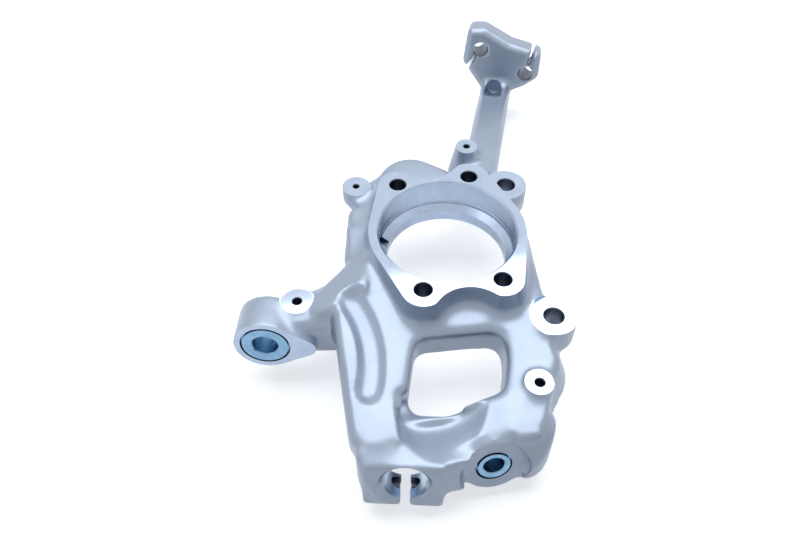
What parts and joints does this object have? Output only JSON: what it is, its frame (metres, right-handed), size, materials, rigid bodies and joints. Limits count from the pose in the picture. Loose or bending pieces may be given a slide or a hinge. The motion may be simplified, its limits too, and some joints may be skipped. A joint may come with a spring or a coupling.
{
  "type": "steering knuckle",
  "caption": "Cast aluminium steering knuckle: a flanged hub ring with a swan neck and pin clamps above, a tie-rod arm, caliper ears, and a window over the lower clamp.",
  "frame": {"origin": "centre of the hub bolt pattern on the flange face, on the wheel axis", "axes": "+Z outboard along the wheel axis, +Y up towards the swan neck's head, +X towards the caliper ears"},
  "size_m": [0.3201, 0.4655, 0.0942],
  "materials": {
    "cast_aluminium": "blasted casting with machined faces",
    "zinc_steel": "blue zinc plating"
  },
  "bodies": {
    "root": {"knuckle_body": "cast_aluminium", "tie_rod_sleeve": "zinc_steel", "lower_link_sleeve": "zinc_steel"}
  },
  "joints": []
}
